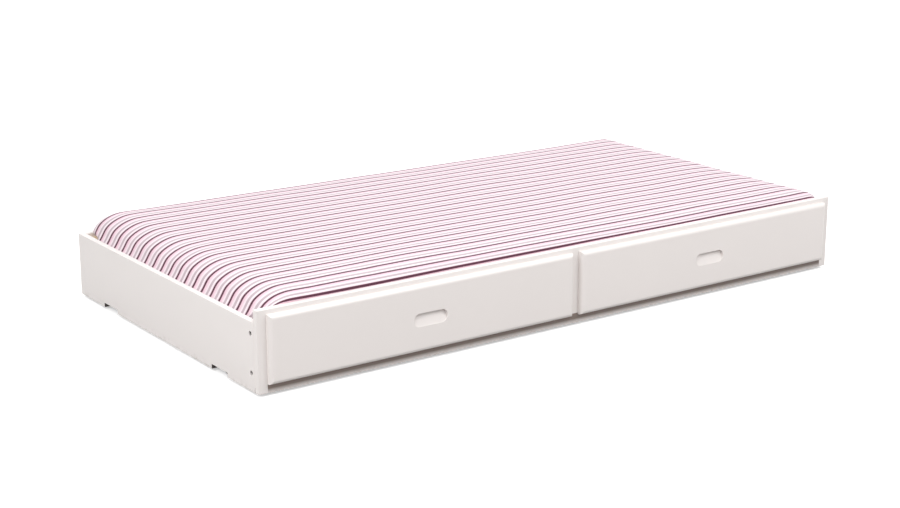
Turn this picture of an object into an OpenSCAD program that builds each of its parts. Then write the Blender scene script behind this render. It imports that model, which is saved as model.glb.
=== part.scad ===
// Trundle bed: a low bed on four fixed casters that rolls out from under another bed.
// X runs along the bed, -Y is the side with the false drawer fronts, Z is up.
// The origin is on the floor under the middle of the bed's outer box.

/* [Overall] */
// Length over the end boards
bed_length = 1980; // [1700:10:2200]
// Width from the front board's face to the back rail's face
bed_width = 1040; // [860:10:1300]
// Height of the end boards and of the back rail
end_height = 182; // [176:1:230]
// Height of the front board
front_height = 216; // [206:1:270]
// Thickness of the boards
board_t = 18; // [16:1:25]
// Gap from the floor to the boards' bottom edges
ground_gap = 8; // [5:0.5:12]
// Rounding of the boards' edges
edge_r = 2; // [1:0.5:4]

/* [False drawer fronts] */
// Thickness of a drawer front
drawer_t = 16; // [14:0.5:25]
// Rounding along a drawer front's outer edges
drawer_edge_r = 11; // [4:0.5:13]
// Front board left bare at each end
drawer_end_margin = 26; // [15:1:60]
// Front board left bare above the drawer fronts
drawer_top_margin = 13; // [5:1:25]
// Front board left bare below the drawer fronts
drawer_bottom_margin = 24; // [10:1:30]
// Gap between the two drawer fronts
drawer_gap = 27; // [10:1:60]
// Length of a finger pull
pull_w = 106; // [80:1:160]
// Height of a finger pull
pull_h = 36; // [28:1:44]
// Depth of a finger pull under its top edge
pull_depth = 11; // [7:0.5:12]
// Depth of a finger pull at its lower lip
pull_lip_depth = 1; // [0.5:0.5:3]
// Height of the finger pull's centre above the boards' bottom edge
pull_z = 110; // [90:1:130]

/* [Slatted base] */
// Height of the slats' top above the boards' bottom edge
deck_h = 76; // [74:1:90]
// Number of slats
slat_count = 14; // [10:1:14]
// Width of a slat
slat_w = 70; // [50:1:90]
// Thickness of a slat
slat_t = 18; // [14:1:20]
// Height of the ledges and of the centre beam
ledge_h = 35; // [30:1:38]
// Thickness of a ledge
ledge_t = 25; // [20:1:32]
// Width of the centre beam
beam_w = 45; // [30:1:70]
// Gap between a slat's end and the board beside it
slat_clear = 2; // [1:0.5:5]

/* [Corner blocks] */
// Corner block along the bed
block_x = 30; // [26:1:32]
// Corner block across the bed
block_y = 31; // [26:1:33]
// Gap under a corner block, from the boards' bottom edge
block_z = 15; // [5:1:25]
// Height of a corner block
block_h = 155; // [150:1:156]

/* [Frame bolts] */
// Height of the lower bolt above the boards' bottom edge
bolt_low_z = 49; // [40:1:60]
// Height of the upper bolt above the boards' bottom edge
bolt_high_z = 151; // [140:1:158]
// Diameter of the sunk hole that takes the bolt's head
bolt_sink_d = 12.5; // [11.5:0.5:15]
// Depth of the sunk hole
bolt_sink_depth = 9; // [7.5:0.5:11]
// Diameter of the bolt
bolt_d = 6; // [5:0.5:7]

/* [Casters] */
// Distance of a caster's centre from the front face and from the back face
caster_inset = 200; // [140:5:240]
// Diameter of the wheel
wheel_d = 50; // [46:1:54]
// Width of the wheel
wheel_w = 20; // [16:1:26]
// Thickness of the tyre
tyre_t = 6; // [4:0.5:8]
// Diameter of the axle
axle_d = 8; // [6:0.5:10]
// Thickness of the bracket's steel
bracket_t = 2.5; // [2:0.5:4]
// Gap on each side of the wheel
wheel_side_gap = 1; // [0.5:0.5:2]
// Length of the notch in the end board's bottom edge
notch_w = 84; // [70:1:100]
// Height of that notch
notch_h = 13; // [8:1:15]

/* [Mattress] */
// Thickness of the mattress
mattress_t = 150; // [110:5:180]
// Gap between the mattress and each end board
mattress_end_gap = 10; // [8:1:40]
// Gap between the mattress and the boards beside it
mattress_side_gap = 10; // [8:1:40]
// Radius of the mattress's corners seen from above
mattress_corner_r = 80; // [80:5:110]
// Radius of the mattress's upper and lower edges
mattress_edge_r = 50; // [20:1:50]
// Thickness of the cover and of the base cloth
cloth_t = 2; // [1:0.5:4]
// Height of the seam between the cover and the base cloth above the mattress's underside
seam_h = 16; // [8:1:20]

/* [Hidden] */
$fn = 64;

// Colours
paint = [0.93, 0.91, 0.90];
pine = [0.85, 0.72, 0.52];
zinc = [0.72, 0.73, 0.75];
black = [0.10, 0.10, 0.11];
dark_rubber = [0.16, 0.16, 0.17];
foam = [0.93, 0.89, 0.72];
stripe_pink = [0.90, 0.78, 0.83];
cloth_grey = [0.80, 0.80, 0.82];

// Clearances and overlaps
overcut = 1;        // how far a cut runs past the face that it opens
hole_gap = 0.1;     // radial gap between a fastener and its hole
axle_gap = 0.05;    // radial gap between the axle and the hub
soft_gap = 0.3;     // gap between the mattress and the slats, and inside its cover

// Main planes of the frame
bed_depth = bed_width + drawer_t;
x_end = bed_length / 2;
x_in = x_end - board_t;
y_drawer = -bed_depth / 2;
y_front = y_drawer + drawer_t;
y_front_in = y_front + board_t;
y_back = bed_depth / 2;
y_back_in = y_back - board_t;
y_mid = (y_front_in + y_back_in) / 2;
z_board = ground_gap;
z_deck = z_board + deck_h;
z_ledge = z_deck - slat_t;

// Wood screws: a countersunk or pan head on a plain shank
screw_d = 4;
screw_head_d = 8;
screw_head_h = 2.5;
end_cover = 5;      // wood left in front of a screw's tip
slat_screw_grip = 16;  // length of a slat screw in its ledge

// Drawer fronts
drawer_w = (bed_length - 2 * drawer_end_margin - drawer_gap) / 2;
drawer_h = front_height - drawer_top_margin - drawer_bottom_margin;
drawer_x = (drawer_w + drawer_gap) / 2;
drawer_screw_inset = 60;

// Slats, from block to block
slat_span = bed_length - 2 * (board_t + block_x + slat_clear);
slat_pitch = (slat_span - slat_w) / (slat_count - 1);
slat_len = y_back_in - y_front_in - 2 * slat_clear;
slat_screw_inset = ledge_t / 2 - slat_clear;
ledge_len = 2 * (x_in - block_x);
ledge_screw_count = 7;
ledge_screw_inset = 80;
beam_len = 2 * x_in - 2 * slat_clear;

// Beam hangers
hanger_t = 2;
hanger_reach = 32;
hanger_flange = 20;
hanger_screw_edge = 10;  // distance of a hanger's screws from the beam's bottom and top
hanger_screw_z = [z_ledge - ledge_h + hanger_screw_edge, z_ledge - hanger_screw_edge];

// Frame bolts and barrel nuts
bolt_y = y_front_in + block_y / 2;
bolt_head_d = 10;
bolt_head_h = 6;
bolt_socket_d = 5.8;
bolt_socket_depth = 3;
bolt_len = 34;
nut_d = 10;
nut_len = 14;
bolt_heights = [z_board + bolt_low_z, z_board + bolt_high_z];

// Dowels
dowel_d = 8;
dowel_len = 30;
dowel_blind = 11;   // length of a dowel in the face that it enters
dowel_front_z = [z_board + 20, z_board + 100];
dowel_back_z = [z_board + 40, z_board + 140];

// Screws that hold the corner blocks, across the bed and along it
block_screw_z = [z_board + 75, z_board + 125];
back_screw_z = [z_board + 60, z_board + 110];

// Casters, numbered front left, front right, back left, back right
wheel_r = wheel_d / 2;
rim_r = wheel_r - tyre_t;
tyre_shoulder_r = 3;
web_gap = 2.5;      // gap between the tyre and the bracket's top
web_z = wheel_d + web_gap;
web_margin = 6;   // how far the bracket's top runs past the cheek on each side
cheek_w = 18;
plate_w = 82;
plate_foot = 4;     // height of the plate's bottom edge above the axle
plate_rise = 22;    // height of the plate's top edge above the bracket's top
plate_bottom = wheel_r + plate_foot;
plate_top = web_z + bracket_t + plate_rise;
plate_screw_y = 34;
plate_screw_edge = 8;  // distance of the plate's screws from its edges
plate_screw_z = [plate_bottom + plate_screw_edge, plate_top - plate_screw_edge];
wheel_x0 = x_in - bracket_t - wheel_side_gap;
cheek_x = wheel_x0 - wheel_w - wheel_side_gap;
boss_wall = 4;
dish_rim = 3;
axle_head_d = 14;
axle_head_h = 2.5;
caster_sides = [[-1, y_front + caster_inset], [1, y_front + caster_inset],
                [-1, y_back - caster_inset], [1, y_back - caster_inset]];

// Mattress
mattress_l = 2 * (x_in - mattress_end_gap);
mattress_w = y_back_in - y_front_in - 2 * mattress_side_gap;
z_mattress = z_deck + soft_gap;

// ---- Shapes that repeat ----

// Rectangle with true round corners, its centre at the origin
module round_rect(size, r) {
    square([size[0] - 2 * r, size[1]], center = true);
    square([size[0], size[1] - 2 * r], center = true);
    for (sx = [-1, 1], sy = [-1, 1])
        translate([sx * (size[0] / 2 - r), sy * (size[1] / 2 - r)])
            circle(r);
}

// Extrudes a flat outline along Y or X, both ways from the origin
module along_y(len) {
    rotate([90, 0, 0])
        linear_extrude(len, center = true)
            children();
}

module along_x(len) {
    rotate([90, 0, 90])
        linear_extrude(len, center = true)
            children();
}

// Board between two corner points, with its edges rounded by a router
module board(low, high, r = edge_r) {
    size = high - low;
    translate((low + high) / 2)
        intersection() {
            along_y(size[1]) round_rect([size[0], size[2]], r);
            along_x(size[0]) round_rect([size[1], size[2]], r);
            linear_extrude(size[2], center = true) round_rect([size[0], size[1]], r);
        }
}

// Plain sawn block between two corner points
module block(low, high) {
    translate(low)
        cube(high - low);
}

// Turns what points along +Z to point along the direction dir, at the point p
module aim(p, dir) {
    translate(p)
        rotate([0, acos(dir[2]), atan2(dir[1], dir[0])])
            children();
}

// Hole of diameter d from the point p along dir
module hole(p, dir, d, len) {
    aim(p, dir)
        translate([0, 0, -overcut])
            cylinder(h = len + overcut, d = d + 2 * hole_gap);
}

// Wood screw whose head's outer face is at p, driven along dir
module screw(p, dir, len) {
    aim(p, dir) {
        cylinder(h = screw_head_h, d = screw_head_d);
        cylinder(h = len, d = screw_d);
    }
}

// Hole for that screw: its sunk head, then its shank
module screw_hole(p, dir, len) {
    hole(p, dir, screw_head_d, screw_head_h);
    hole(p, dir, screw_d, len + hole_gap);
}

// ---- Where the fasteners are ----
// Each list holds [point, direction, length], and the pieces that they go through use it too

slat_centres = [for (i = [0:slat_count - 1]) -slat_span / 2 + slat_w / 2 + i * slat_pitch];

slat_screw_list = [for (x = slat_centres, s = [-1, 1])
    [[x, s * (slat_len / 2 - slat_screw_inset) + y_mid, z_deck], [0, 0, -1], slat_t + slat_screw_grip]];

ledge_screw_xs = [for (i = [0:ledge_screw_count - 1])
    -ledge_len / 2 + ledge_screw_inset
    + i * (ledge_len - 2 * ledge_screw_inset) / (ledge_screw_count - 1)];

ledge_screw_z = z_ledge - ledge_h / 2;

ledge_screw_list = concat(
    [for (x = ledge_screw_xs)
        [[x, y_front_in + ledge_t, ledge_screw_z], [0, -1, 0], ledge_t + board_t - end_cover]],
    [for (x = ledge_screw_xs)
        [[x, y_back_in - ledge_t, ledge_screw_z], [0, 1, 0], ledge_t + board_t - end_cover]]);

block_screw_list = concat(
    [for (s = [-1, 1], z = block_screw_z)
        [[s * (x_in - block_x / 2), y_front_in + block_y, z], [0, -1, 0],
         block_y + board_t - end_cover]],
    [for (s = [-1, 1], z = block_screw_z)
        [[s * (x_in - block_x / 2), y_back_in - block_y, z], [0, 1, 0],
         block_y + board_t - end_cover]],
    [for (s = [-1, 1], z = back_screw_z)
        [[s * (x_in - block_x), y_back_in - block_y / 2, z], [s, 0, 0],
         block_x + board_t - end_cover]]);

drawer_screw_list = [for (s = [-1, 1], sx = [-1, 1], sz = [-1, 1])
    [[s * drawer_x + sx * (drawer_w / 2 - drawer_screw_inset), y_front_in,
      z_board + drawer_bottom_margin + drawer_h / 2 + sz * (drawer_h / 2 - drawer_screw_inset / 2)],
     [0, -1, 0], board_t + drawer_t - end_cover]];

hanger_screw_list = [for (s = [-1, 1], sy = [-1, 1], z = hanger_screw_z)
    [[s * (x_in - hanger_t - screw_head_h),
      y_mid + sy * (beam_w / 2 + hanger_t + hanger_flange / 2), z],
     [s, 0, 0], screw_head_h + hanger_t + board_t - end_cover]];

caster_screw_list = [for (c = caster_sides, sy = [-1, 1], z = plate_screw_z)
    [[c[0] * (x_in - bracket_t - screw_head_h), c[1] + sy * plate_screw_y, z],
     [c[0], 0, 0], screw_head_h + bracket_t + board_t - end_cover]];

dowel_list = concat(
    [for (s = [-1, 1], z = dowel_front_z)
        [[s * (x_end - board_t / 2), y_front_in - dowel_blind, z], [0, 1, 0], dowel_len]],
    [for (s = [-1, 1], z = dowel_back_z)
        [[s * (x_in + dowel_blind), y_back - board_t / 2, z], [-s, 0, 0], dowel_len]]);

module screws(list) {
    for (f = list)
        screw(f[0], f[1], f[2]);
}

module screw_holes(list) {
    for (f = list)
        screw_hole(f[0], f[1], f[2]);
}

// Straight holes for the screws whose heads stand on a steel plate
module shank_holes(list) {
    for (f = list)
        hole(f[0], f[1], screw_d, f[2] + hole_gap);
}

module dowel_holes() {
    for (f = dowel_list)
        aim(f[0], f[1])
            translate([0, 0, -hole_gap])
                cylinder(h = f[2] + 2 * hole_gap, d = dowel_d + 2 * hole_gap);
}

// ---- Outer frame ----

module front_board() {
    color(paint)
        difference() {
            board([-x_end, y_front, z_board], [x_end, y_front_in, z_board + front_height]);
            dowel_holes();
            screw_holes(drawer_screw_list);
            shank_holes(ledge_screw_list);
            shank_holes(block_screw_list);
        }
}

// End board at the side s: -1 is the left end, 1 the right end
module end_board(s) {
    low_x = min(s * x_in, s * x_end);
    color(paint)
        difference() {
            board([low_x, y_front_in, z_board], [low_x + board_t, y_back, z_board + end_height]);
            for (y = [y_front + caster_inset, y_back - caster_inset])
                block([low_x - overcut, y - notch_w / 2, z_board - overcut],
                      [low_x + board_t + overcut, y + notch_w / 2, z_board + notch_h]);
            for (z = bolt_heights) {
                hole([s * x_end, bolt_y, z], [-s, 0, 0], bolt_sink_d - 2 * hole_gap, bolt_sink_depth);
                hole([s * x_end, bolt_y, z], [-s, 0, 0], bolt_d, board_t + overcut);
            }
            dowel_holes();
            shank_holes(block_screw_list);
            shank_holes(hanger_screw_list);
            shank_holes(caster_screw_list);
        }
}

module back_rail() {
    color(paint)
        difference() {
            board([-x_in, y_back_in, z_board], [x_in, y_back, z_board + end_height]);
            dowel_holes();
            shank_holes(ledge_screw_list);
            shank_holes(block_screw_list);
        }
}

// ---- False drawer fronts ----

// Finger pull: a long slot with round ends, deep under its top edge and shallow at its lip
module pull_pocket() {
    slope = atan((pull_depth - pull_lip_depth) / pull_h);
    reach = 2 * pull_h;  // big enough to hold the whole slot
    intersection() {
        along_y(2 * (pull_depth + overcut)) {
            square([pull_w - pull_h, pull_h], center = true);
            for (s = [-1, 1])
                translate([s * (pull_w - pull_h) / 2, 0])
                    circle(d = pull_h);
        }
        translate([0, pull_lip_depth, -pull_h / 2])
            rotate([-slope, 0, 0])
                translate([-pull_w / 2, -reach, -reach / 2])
                    cube([pull_w, reach, 2 * reach]);
    }
}

// Panel with its outer edges rounded on the face that looks along -Y
module drawer_front(s) {
    z_low = z_board + drawer_bottom_margin;
    color(paint)
        difference() {
            translate([s * drawer_x, y_front, z_low + drawer_h / 2])
                intersection() {
                    along_x(drawer_w)
                        rounded_face([drawer_t, drawer_h], drawer_edge_r);
                    linear_extrude(drawer_h, center = true)
                        rounded_face([drawer_w, drawer_t], drawer_edge_r, flat = true);
                }
            translate([s * drawer_x, y_drawer, z_board + pull_z])
                pull_pocket();
            shank_holes(drawer_screw_list);
        }
}

// Outline of a panel that lies in front of y = 0 with its two outer corners rounded.
// Without flat it is seen from the end, with Y across; with flat it is seen from above.
module rounded_face(size, r, flat = false) {
    if (flat)
        intersection() {
            translate([-size[0] / 2, -size[1]])
                square(size);
            translate([0, r - size[1] / 2])
                round_rect([size[0], size[1] + 2 * r], r);
        }
    else
        rotate(-90)
            rounded_face([size[1], size[0]], r, flat = true);
}

// ---- Corner blocks ----

// Block in the corner at the end sx and the side sy
module corner_block(sx, sy) {
    x0 = min(sx * x_in, sx * (x_in - block_x));
    y0 = sy < 0 ? y_front_in : y_back_in - block_y;
    color(pine)
        difference() {
            block([x0, y0, z_board + block_z],
                  [x0 + block_x, y0 + block_y, z_board + block_z + block_h]);
            screw_holes(block_screw_list);
            if (sy < 0)
                for (z = bolt_heights) {
                    hole([sx * x_in, bolt_y, z], [-sx, 0, 0], bolt_d,
                         bolt_sink_depth + bolt_len - board_t + hole_gap);
                    hole([sx * (x_in - block_x / 2), y_front_in + block_y, z], [0, -1, 0],
                         nut_d, block_y / 2 + nut_len / 2);
                }
        }
}

// ---- Slatted base ----

module ledge(y0) {
    color(pine)
        difference() {
            block([-ledge_len / 2, y0, z_ledge - ledge_h],
                  [ledge_len / 2, y0 + ledge_t, z_ledge]);
            screw_holes(ledge_screw_list);
            shank_holes(slat_screw_list);
        }
}

module centre_beam() {
    color(pine)
        block([-beam_len / 2, y_mid - beam_w / 2, z_ledge - ledge_h],
              [beam_len / 2, y_mid + beam_w / 2, z_ledge]);
}

// Steel shoe that carries the beam's end on the end board at the side s
module beam_hanger(s) {
    z0 = z_ledge - ledge_h - hanger_t;
    z1 = z_ledge - hanger_t;
    shoe_w = beam_w + 2 * hanger_t + 2 * hole_gap;
    flange_w = shoe_w + 2 * hanger_flange;
    color(zinc)
        difference() {
            union() {
                translate([s * (x_in - hanger_reach / 2), y_mid, (z0 + z1) / 2])
                    difference() {
                        cube([hanger_reach, shoe_w, z1 - z0], center = true);
                        translate([0, 0, hanger_t])
                            cube([hanger_reach + 2 * overcut, shoe_w - 2 * hanger_t, z1 - z0],
                                 center = true);
                    }
                for (sy = [-1, 1])
                    translate([s * (x_in - hanger_t / 2),
                               y_mid + sy * (shoe_w + flange_w) / 4, (z0 + z1) / 2])
                        cube([hanger_t, hanger_flange, z1 - z0], center = true);
            }
            shank_holes(hanger_screw_list);
        }
}

module slat(i) {
    x = slat_centres[i - 1];
    color(pine)
        difference() {
            board([x - slat_w / 2, y_mid - slat_len / 2, z_ledge],
                  [x + slat_w / 2, y_mid + slat_len / 2, z_deck]);
            screw_holes(slat_screw_list);
        }
}

// ---- Casters ----

// Moves a caster drawn at the right end of the bed to its place; the left one is its mirror
module at_caster(i) {
    c = caster_sides[i - 1];
    translate([0, c[1], 0])
        mirror([c[0] < 0 ? 1 : 0, 0, 0])
            children();
}

// Bent steel fork: the outer leg is the plate on the end board, the inner leg a narrow cheek
module caster_bracket(i) {
    web_w = cheek_w + 2 * web_margin;
    color(zinc)
        at_caster(i)
            difference() {
                union() {
                    translate([x_in - bracket_t / 2, 0, (plate_bottom + plate_top) / 2])
                        cube([bracket_t, plate_w, plate_top - plate_bottom], center = true);
                    translate([x_in - bracket_t / 2, 0, wheel_r])
                        along_x(bracket_t) cheek();
                    translate([(x_in + cheek_x - bracket_t) / 2, 0, web_z + bracket_t / 2])
                        cube([x_in - cheek_x + bracket_t, web_w, bracket_t], center = true);
                    translate([cheek_x - bracket_t / 2, 0, wheel_r])
                        along_x(bracket_t) cheek();
                    translate([cheek_x - bracket_t / 2, 0, (wheel_r + web_z) / 2 + bracket_t])
                        cube([bracket_t, web_w, web_z - wheel_r - 2 * bracket_t], center = true);
                }
                translate([cheek_x - bracket_t - overcut, 0, wheel_r])
                    rotate([0, 90, 0])
                        cylinder(h = x_end - cheek_x, d = axle_d + 2 * axle_gap);
                for (sy = [-1, 1], z = plate_screw_z)
                    translate([x_in - bracket_t - overcut, sy * plate_screw_y, z])
                        rotate([0, 90, 0])
                            cylinder(h = bracket_t + 2 * overcut, d = screw_d + 2 * hole_gap);
            }
}

// Round-ended leg that holds the axle, seen along the axle
module cheek() {
    circle(d = cheek_w);
    translate([-cheek_w / 2, 0])
        square([cheek_w, web_z - wheel_r]);
}

// Riveted axle: flush in the plate, with a flat head on the inner cheek
module caster_axle(i) {
    color(zinc)
        at_caster(i)
            translate([cheek_x - bracket_t - axle_head_h, 0, wheel_r])
                rotate([0, 90, 0]) {
                    cylinder(h = axle_head_h, d = axle_head_d);
                    cylinder(h = x_in - cheek_x + bracket_t + axle_head_h, d = axle_d);
                }
}

// Wheel's axis: turns a profile drawn as [radius, distance along the axle] into place
module on_axle() {
    translate([wheel_x0 - wheel_w / 2, 0, wheel_r])
        rotate([0, 90, 0])
            rotate_extrude()
                children();
}

// Moulded hub with a boss and a thinner web
module wheel_hub(i) {
    boss_r = axle_d / 2 + boss_wall;
    dish = wheel_w / 4;
    color(dark_rubber)
        at_caster(i)
            on_axle()
                difference() {
                    translate([axle_d / 2 + axle_gap, -wheel_w / 2])
                        square([rim_r - axle_d / 2 - axle_gap, wheel_w]);
                    for (s = [-1, 1])
                        translate([boss_r, s * wheel_w / 2 - dish / 2])
                            square([rim_r - dish_rim - boss_r, dish]);
                }
}

// Rubber tyre with round shoulders
module wheel_tyre(i) {
    color(black)
        at_caster(i)
            on_axle() {
                translate([rim_r, -wheel_w / 2])
                    square([tyre_t - tyre_shoulder_r, wheel_w]);
                translate([rim_r, -wheel_w / 2 + tyre_shoulder_r])
                    square([tyre_t, wheel_w - 2 * tyre_shoulder_r]);
                for (s = [-1, 1])
                    translate([wheel_r - tyre_shoulder_r, s * (wheel_w / 2 - tyre_shoulder_r)])
                        circle(tyre_shoulder_r);
            }
}

// ---- Fasteners ----

// Hexagon-socket bolt, its head sunk in the end board
module frame_bolts() {
    color(black)
        for (s = [-1, 1], z = bolt_heights)
            aim([s * (x_end - bolt_sink_depth + bolt_head_h), bolt_y, z], [-s, 0, 0])
                difference() {
                    union() {
                        cylinder(h = bolt_head_h, d = bolt_head_d);
                        cylinder(h = bolt_head_h + bolt_len, d = bolt_d);
                    }
                    translate([0, 0, -overcut])
                        cylinder(h = bolt_socket_depth + overcut, d = bolt_socket_d, $fn = 6);
                }
}

module barrel_nuts() {
    color(zinc)
        for (s = [-1, 1], z = bolt_heights)
            difference() {
                translate([s * (x_in - block_x / 2), bolt_y, z])
                    rotate([90, 0, 0])
                        cylinder(h = nut_len, d = nut_d, center = true);
                hole([s * x_end, bolt_y, z], [-s, 0, 0], bolt_d, board_t + block_x);
            }
}

module dowels() {
    color(pine)
        for (f = dowel_list)
            aim(f[0], f[1])
                cylinder(h = f[2], d = dowel_d);
}

// ---- Mattress ----

// Carries a profile of [distance out from the corner's centre, height] round the mattress
module round_mattress() {
    half = [mattress_l / 2 - mattress_corner_r, mattress_w / 2 - mattress_corner_r];
    translate([0, y_mid, z_mattress]) {
        for (i = [0:3]) {
            corner_signs = [[1, 1], [-1, 1], [-1, -1], [1, -1]][i];
            translate([corner_signs[0] * half[0], corner_signs[1] * half[1], 0])
                rotate(90 * i)
                    rotate_extrude(angle = 90)
                        children();
            side = [[half[0], 0], [0, half[1]], [-half[0], 0], [0, -half[1]]][i];
            translate([side[0], side[1], 0])
                rotate([90, 0, 90 * i])
                    linear_extrude(2 * half[(i + 1) % 2], center = true)
                        children();
        }
    }
}

// Slab between the corners' centres, from z_low to z_high above the mattress's underside
module mattress_slab(z_low, z_high) {
    size = [mattress_l - 2 * mattress_corner_r, mattress_w - 2 * mattress_corner_r];
    translate([-size[0] / 2, y_mid - size[1] / 2, z_mattress + z_low])
        cube([size[0], size[1], z_high - z_low]);
}

// Profile of the mattress's side, smaller by inset all round
module side_profile(inset) {
    r = mattress_edge_r - inset;
    wide = mattress_corner_r - inset;
    translate([0, inset])
        square([wide - r, mattress_t - 2 * inset]);
    translate([0, inset + r])
        square([wide, mattress_t - 2 * inset - 2 * r]);
    for (z = [inset + r, mattress_t - inset - r])
        translate([wide - r, z])
            circle(r);
}

module cloth_profile() {
    difference() {
        side_profile(0);
        side_profile(cloth_t);
    }
}

module mattress_core() {
    gap = cloth_t + soft_gap;
    color(foam) {
        round_mattress() side_profile(gap);
        mattress_slab(gap, mattress_t - gap);
    }
}

// Striped cover over the top and the sides, down to the seam
module mattress_cover() {
    color(stripe_pink) {
        round_mattress()
            intersection() {
                cloth_profile();
                translate([0, seam_h])
                    square(mattress_t);
            }
        mattress_slab(mattress_t - cloth_t, mattress_t);
    }
}

// Plain cloth under the core, turned up at its rim to meet the cover
module mattress_base_cloth() {
    color(cloth_grey) {
        round_mattress()
            intersection() {
                cloth_profile();
                square([mattress_t, seam_h]);
            }
        mattress_slab(0, cloth_t);
    }
}

// ---- Nodes ----

front_board();
end_board(-1);  // left_end_board
end_board(1);  // right_end_board
back_rail();
drawer_front(-1);  // drawer_front_left
drawer_front(1);  // drawer_front_right
corner_block(-1, -1);  // front_left_block
corner_block(1, -1);  // front_right_block
corner_block(-1, 1);  // back_left_block
corner_block(1, 1);  // back_right_block
ledge(y_front_in);  // front_ledge
ledge(y_back_in - ledge_t);  // back_ledge
centre_beam();
beam_hanger(-1);  // left_beam_hanger
beam_hanger(1);  // right_beam_hanger
for (i = [1:slat_count])
    slat(i);
for (i = [1:4]) {
    caster_bracket(i);
    caster_axle(i);
    wheel_hub(i);
    wheel_tyre(i);
}
frame_bolts();
barrel_nuts();
dowels();
color(zinc) screws(drawer_screw_list);  // drawer_front_screws
color(zinc) screws(block_screw_list);  // block_screws
color(zinc) screws(ledge_screw_list);  // ledge_screws
color(zinc) screws(slat_screw_list);  // slat_screws
color(zinc) screws(hanger_screw_list);  // hanger_screws
color(zinc) screws(caster_screw_list);  // caster_screws
mattress_core();
mattress_cover();
mattress_base_cloth();
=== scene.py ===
import math
import bpy
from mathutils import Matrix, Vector, noise


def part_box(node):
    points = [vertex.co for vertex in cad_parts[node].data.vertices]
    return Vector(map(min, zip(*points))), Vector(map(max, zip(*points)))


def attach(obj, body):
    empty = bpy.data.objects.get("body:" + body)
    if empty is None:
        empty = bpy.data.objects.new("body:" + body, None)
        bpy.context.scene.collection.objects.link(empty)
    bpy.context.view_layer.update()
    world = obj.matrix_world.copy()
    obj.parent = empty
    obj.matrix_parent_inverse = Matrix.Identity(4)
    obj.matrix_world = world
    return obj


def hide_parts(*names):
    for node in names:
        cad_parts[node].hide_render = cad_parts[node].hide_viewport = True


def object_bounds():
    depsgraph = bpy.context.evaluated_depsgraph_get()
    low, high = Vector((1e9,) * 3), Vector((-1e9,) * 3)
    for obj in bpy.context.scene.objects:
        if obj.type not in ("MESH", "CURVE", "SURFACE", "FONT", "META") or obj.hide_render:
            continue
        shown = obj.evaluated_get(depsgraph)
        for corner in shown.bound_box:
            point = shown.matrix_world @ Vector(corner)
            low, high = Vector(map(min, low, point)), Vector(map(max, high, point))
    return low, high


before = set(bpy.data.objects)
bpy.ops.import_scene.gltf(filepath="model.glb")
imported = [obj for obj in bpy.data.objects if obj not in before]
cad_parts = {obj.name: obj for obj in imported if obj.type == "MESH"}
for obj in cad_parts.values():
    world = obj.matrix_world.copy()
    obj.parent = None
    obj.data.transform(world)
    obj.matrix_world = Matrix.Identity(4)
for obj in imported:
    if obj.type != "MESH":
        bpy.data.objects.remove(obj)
cad_low, cad_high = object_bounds()


# ---- Painted boards ----
# The front board, the two end boards, the back rail and the two false drawer fronts are
# planed boards with routed edges. They are sprayed with a warm white satin paint, which
# leaves a faint stipple, and the paint gathers scuffs along the bottom, close to the floor.

def place(tree, kind, at, **settings):
    """Adds a node at a place in the tree and sets its properties or its inputs by name."""
    node = tree.nodes.new(kind)
    node.location = at
    for name, value in settings.items():
        name = name.replace("_in", "").replace("_", " ") if name.endswith("_in") else name
        if hasattr(node, name):
            setattr(node, name, value)
        else:
            node.inputs[name].default_value = value
    return node


def new_group(name, inputs, outputs):
    """Starts a shader group with sockets given as (name, kind, value)."""
    group = bpy.data.node_groups.new(name, "ShaderNodeTree")
    for label, kind, value in inputs:
        socket = group.interface.new_socket(label, in_out="INPUT", socket_type=kind)
        if value is not None:
            socket.default_value = value
    for label, kind in outputs:
        group.interface.new_socket(label, in_out="OUTPUT", socket_type=kind)
    ends = place(group, "NodeGroupInput", (-900, 0)), place(group, "NodeGroupOutput", (900, 0))
    return group, ends[0].outputs, ends[1].inputs


def new_material(name, group, values, roughness_linked=True, **shader):
    """Starts a material whose shader takes colour, roughness and normal from a group."""
    material = bpy.data.materials.new(name)
    material.use_nodes = True
    tree = material.node_tree
    tree.nodes.clear()
    used = place(tree, "ShaderNodeGroup", (-300, 0), node_tree=group)
    for label, value in values.items():
        used.inputs[label].default_value = value
    bsdf = place(tree, "ShaderNodeBsdfPrincipled", (0, 0))
    for label, value in shader.items():
        bsdf.inputs[label.replace("_", " ")].default_value = value
    out = place(tree, "ShaderNodeOutputMaterial", (300, 0))
    tree.links.new(used.outputs["Colour"], bsdf.inputs["Base Color"])
    if roughness_linked:
        tree.links.new(used.outputs["Roughness"], bsdf.inputs["Roughness"])
    tree.links.new(used.outputs["Normal"], bsdf.inputs["Normal"])
    tree.links.new(bsdf.outputs["BSDF"], out.inputs["Surface"])
    return material


def finish_nodes(material, *names):
    """Gives CAD nodes their finish."""
    for name in names:
        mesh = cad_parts[name].data
        mesh.materials.clear()
        mesh.materials.append(material)


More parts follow.
